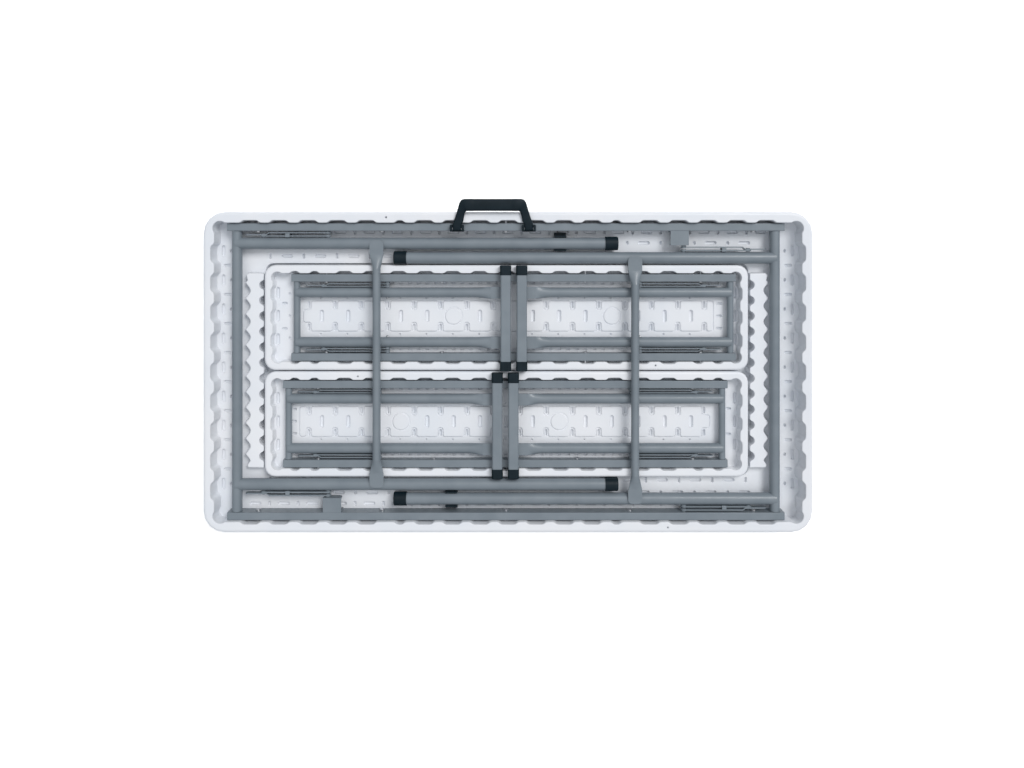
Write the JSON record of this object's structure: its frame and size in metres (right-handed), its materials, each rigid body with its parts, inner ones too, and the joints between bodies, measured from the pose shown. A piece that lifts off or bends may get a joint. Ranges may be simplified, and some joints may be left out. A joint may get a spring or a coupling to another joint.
{
  "type": "folding picnic table with nested benches",
  "caption": "White moulded folding table seen from below, with folding steel legs and locking braces, a carrying handle, and folding benches stored in its underside.",
  "frame": {"origin": "centre of the tabletop's flat face, on that face", "axes": "+X along the table, +Y towards the long side with the carrying handle, +Z away from the tabletop's flat face, towards the underside and the legs"},
  "size_m": [1.13, 0.6185, 0.077],
  "materials": {
    "white_plastic": "fine moulded grain",
    "grey_paint": "powder coat",
    "black_plastic": "satin",
    "zinc_steel": "zinc plated"
  },
  "bodies": {
    "table": {"tabletop": "white_plastic", "upper_table_rail": "grey_paint", "lower_table_rail": "grey_paint", "rail_screws": "zinc_steel", "pivot_bushes": "black_plastic", "brace_brackets": "grey_paint", "leg_clips": "black_plastic", "handle_mounts": "black_plastic", "handle_pins": "zinc_steel", "upper_bench_seat": "white_plastic", "upper_bench_upper_rail": "grey_paint", "upper_bench_lower_rail": "grey_paint", "upper_bench_screws": "zinc_steel", "lower_bench_seat": "white_plastic", "lower_bench_upper_rail": "grey_paint", "lower_bench_lower_rail": "grey_paint", "lower_bench_screws": "zinc_steel"},
    "carrying_handle": {"handle": "black_plastic"},
    "left_legs": {"left_pivot_tube": "grey_paint", "left_outer_leg": "grey_paint", "left_inner_leg": "grey_paint", "left_crossbar": "grey_paint", "left_foot_caps": "black_plastic"},
    "left_rail_links": {"left_rail_links": "grey_paint"},
    "left_leg_links": {"left_leg_links": "grey_paint"},
    "left_lock_rings": {"left_lock_rings": "grey_paint"},
    "right_legs": {"right_pivot_tube": "grey_paint", "right_outer_leg": "grey_paint", "right_inner_leg": "grey_paint", "right_crossbar": "grey_paint", "right_foot_caps": "black_plastic"},
    "right_rail_links": {"right_rail_links": "grey_paint"},
    "right_leg_links": {"right_leg_links": "grey_paint"},
    "right_lock_rings": {"right_lock_rings": "grey_paint"},
    "upper_bench_left_legs": {"upper_bench_left_pivot_tube": "grey_paint", "upper_bench_left_legs": "grey_paint", "upper_bench_left_foot_bar": "grey_paint", "upper_bench_left_foot_bar_caps": "black_plastic"},
    "upper_bench_left_rail_links": {"upper_bench_left_rail_links": "grey_paint"},
    "upper_bench_left_leg_links": {"upper_bench_left_leg_links": "grey_paint"},
    "upper_bench_right_legs": {"upper_bench_right_pivot_tube": "grey_paint", "upper_bench_right_legs": "grey_paint", "upper_bench_right_foot_bar": "grey_paint", "upper_bench_right_foot_bar_caps": "black_plastic"},
    "upper_bench_right_rail_links": {"upper_bench_right_rail_links": "grey_paint"},
    "upper_bench_right_leg_links": {"upper_bench_right_leg_links": "grey_paint"},
    "lower_bench_left_legs": {"lower_bench_left_pivot_tube": "grey_paint", "lower_bench_left_legs": "grey_paint", "lower_bench_left_foot_bar": "grey_paint", "lower_bench_left_foot_bar_caps": "black_plastic"},
    "lower_bench_left_rail_links": {"lower_bench_left_rail_links": "grey_paint"},
    "lower_bench_left_leg_links": {"lower_bench_left_leg_links": "grey_paint"},
    "lower_bench_right_legs": {"lower_bench_right_pivot_tube": "grey_paint", "lower_bench_right_legs": "grey_paint", "lower_bench_right_foot_bar": "grey_paint", "lower_bench_right_foot_bar_caps": "black_plastic"},
    "lower_bench_right_rail_links": {"lower_bench_right_rail_links": "grey_paint"},
    "lower_bench_right_leg_links": {"lower_bench_right_leg_links": "grey_paint"}
  },
  "joints": [
    {"name": "left_legs_fold", "type": "hinge", "parent": "table", "child": "left_legs", "pos_m": [-0.5065, 0, 0.044], "axis": [0, -1, 0], "range_deg": [0, 90]},
    {"name": "left_rail_links_turn", "type": "hinge", "parent": "table", "child": "left_rail_links", "pos_m": [-0.3365, 0, 0.044], "axis": [0, 1, 0], "range_deg": [0, 45]},
    {"name": "left_leg_links_turn", "type": "hinge", "parent": "left_legs", "child": "left_leg_links", "pos_m": [-0.3365, 0, 0.044], "axis": [0, -1, 0], "range_deg": [0, 45]},
    {"name": "left_lock_slide", "type": "slide", "parent": "left_leg_links", "child": "left_lock_rings", "axis": [-1, 0, 0], "range_m": [0, 0.03]},
    {"name": "right_legs_fold", "type": "hinge", "parent": "table", "child": "right_legs", "pos_m": [0.4985, 0, 0.044], "axis": [0, 1, 0], "range_deg": [0, 90]},
    {"name": "right_rail_links_turn", "type": "hinge", "parent": "table", "child": "right_rail_links", "pos_m": [0.3285, 0, 0.044], "axis": [0, -1, 0], "range_deg": [0, 45]},
    {"name": "right_leg_links_turn", "type": "hinge", "parent": "right_legs", "child": "right_leg_links", "pos_m": [0.3285, 0, 0.044], "axis": [0, 1, 0], "range_deg": [0, 45]},
    {"name": "right_lock_slide", "type": "slide", "parent": "right_leg_links", "child": "right_lock_rings", "axis": [1, 0, 0], "range_m": [0, 0.03]},
    {"name": "upper_bench_left_legs_fold", "type": "hinge", "parent": "table", "child": "upper_bench_left_legs", "pos_m": [-0.3965, 0, 0.036], "axis": [0, -1, 0], "range_deg": [0, 90]},
    {"name": "upper_bench_left_rail_links_turn", "type": "hinge", "parent": "table", "child": "upper_bench_left_rail_links", "pos_m": [-0.2265, 0, 0.036], "axis": [0, 1, 0], "range_deg": [0, 45]},
    {"name": "upper_bench_left_leg_links_turn", "type": "hinge", "parent": "upper_bench_left_legs", "child": "upper_bench_left_leg_links", "pos_m": [-0.2265, 0, 0.036], "axis": [0, -1, 0], "range_deg": [0, 45]},
    {"name": "upper_bench_right_legs_fold", "type": "hinge", "parent": "table", "child": "upper_bench_right_legs", "pos_m": [0.4175, 0, 0.036], "axis": [0, 1, 0], "range_deg": [0, 90]},
    {"name": "upper_bench_right_rail_links_turn", "type": "hinge", "parent": "table", "child": "upper_bench_right_rail_links", "pos_m": [0.2475, 0, 0.036], "axis": [0, -1, 0], "range_deg": [0, 45]},
    {"name": "upper_bench_right_leg_links_turn", "type": "hinge", "parent": "upper_bench_right_legs", "child": "upper_bench_right_leg_links", "pos_m": [0.2475, 0, 0.036], "axis": [0, 1, 0], "range_deg": [0, 45]},
    {"name": "lower_bench_left_legs_fold", "type": "hinge", "parent": "table", "child": "lower_bench_left_legs", "pos_m": [-0.412, 0, 0.036], "axis": [0, -1, 0], "range_deg": [0, 90]},
    {"name": "lower_bench_left_rail_links_turn", "type": "hinge", "parent": "table", "child": "lower_bench_left_rail_links", "pos_m": [-0.242, 0, 0.036], "axis": [0, 1, 0], "range_deg": [0, 45]},
    {"name": "lower_bench_left_leg_links_turn", "type": "hinge", "parent": "lower_bench_left_legs", "child": "lower_bench_left_leg_links", "pos_m": [-0.242, 0, 0.036], "axis": [0, -1, 0], "range_deg": [0, 45]},
    {"name": "lower_bench_right_legs_fold", "type": "hinge", "parent": "table", "child": "lower_bench_right_legs", "pos_m": [0.402, 0, 0.036], "axis": [0, 1, 0], "range_deg": [0, 90]},
    {"name": "lower_bench_right_rail_links_turn", "type": "hinge", "parent": "table", "child": "lower_bench_right_rail_links", "pos_m": [0.232, 0, 0.036], "axis": [0, -1, 0], "range_deg": [0, 45]},
    {"name": "lower_bench_right_leg_links_turn", "type": "hinge", "parent": "lower_bench_right_legs", "child": "lower_bench_right_leg_links", "pos_m": [0.232, 0, 0.036], "axis": [0, 1, 0], "range_deg": [0, 45]},
    {"name": "handle_swing", "type": "hinge", "parent": "table", "child": "carrying_handle", "pos_m": [-0.028, 0.266, 0.061], "axis": [1, 0, 0], "range_deg": [0, 90]}
  ],
  "couplings": [
    {"joint": "left_rail_links_turn", "follows": "left_legs_fold", "ratio": 0.5},
    {"joint": "left_leg_links_turn", "follows": "left_legs_fold", "ratio": 0.5},
    {"joint": "right_rail_links_turn", "follows": "right_legs_fold", "ratio": 0.5},
    {"joint": "right_leg_links_turn", "follows": "right_legs_fold", "ratio": 0.5},
    {"joint": "upper_bench_left_legs_fold", "follows": "left_legs_fold", "ratio": 1},
    {"joint": "upper_bench_left_rail_links_turn", "follows": "left_legs_fold", "ratio": 0.5},
    {"joint": "upper_bench_left_leg_links_turn", "follows": "left_legs_fold", "ratio": 0.5},
    {"joint": "upper_bench_right_legs_fold", "follows": "right_legs_fold", "ratio": 1},
    {"joint": "upper_bench_right_rail_links_turn", "follows": "right_legs_fold", "ratio": 0.5},
    {"joint": "upper_bench_right_leg_links_turn", "follows": "right_legs_fold", "ratio": 0.5},
    {"joint": "lower_bench_left_legs_fold", "follows": "left_legs_fold", "ratio": 1},
    {"joint": "lower_bench_left_rail_links_turn", "follows": "left_legs_fold", "ratio": 0.5},
    {"joint": "lower_bench_left_leg_links_turn", "follows": "left_legs_fold", "ratio": 0.5},
    {"joint": "lower_bench_right_legs_fold", "follows": "right_legs_fold", "ratio": 1},
    {"joint": "lower_bench_right_rail_links_turn", "follows": "right_legs_fold", "ratio": 0.5},
    {"joint": "lower_bench_right_leg_links_turn", "follows": "right_legs_fold", "ratio": 0.5}
  ]
}
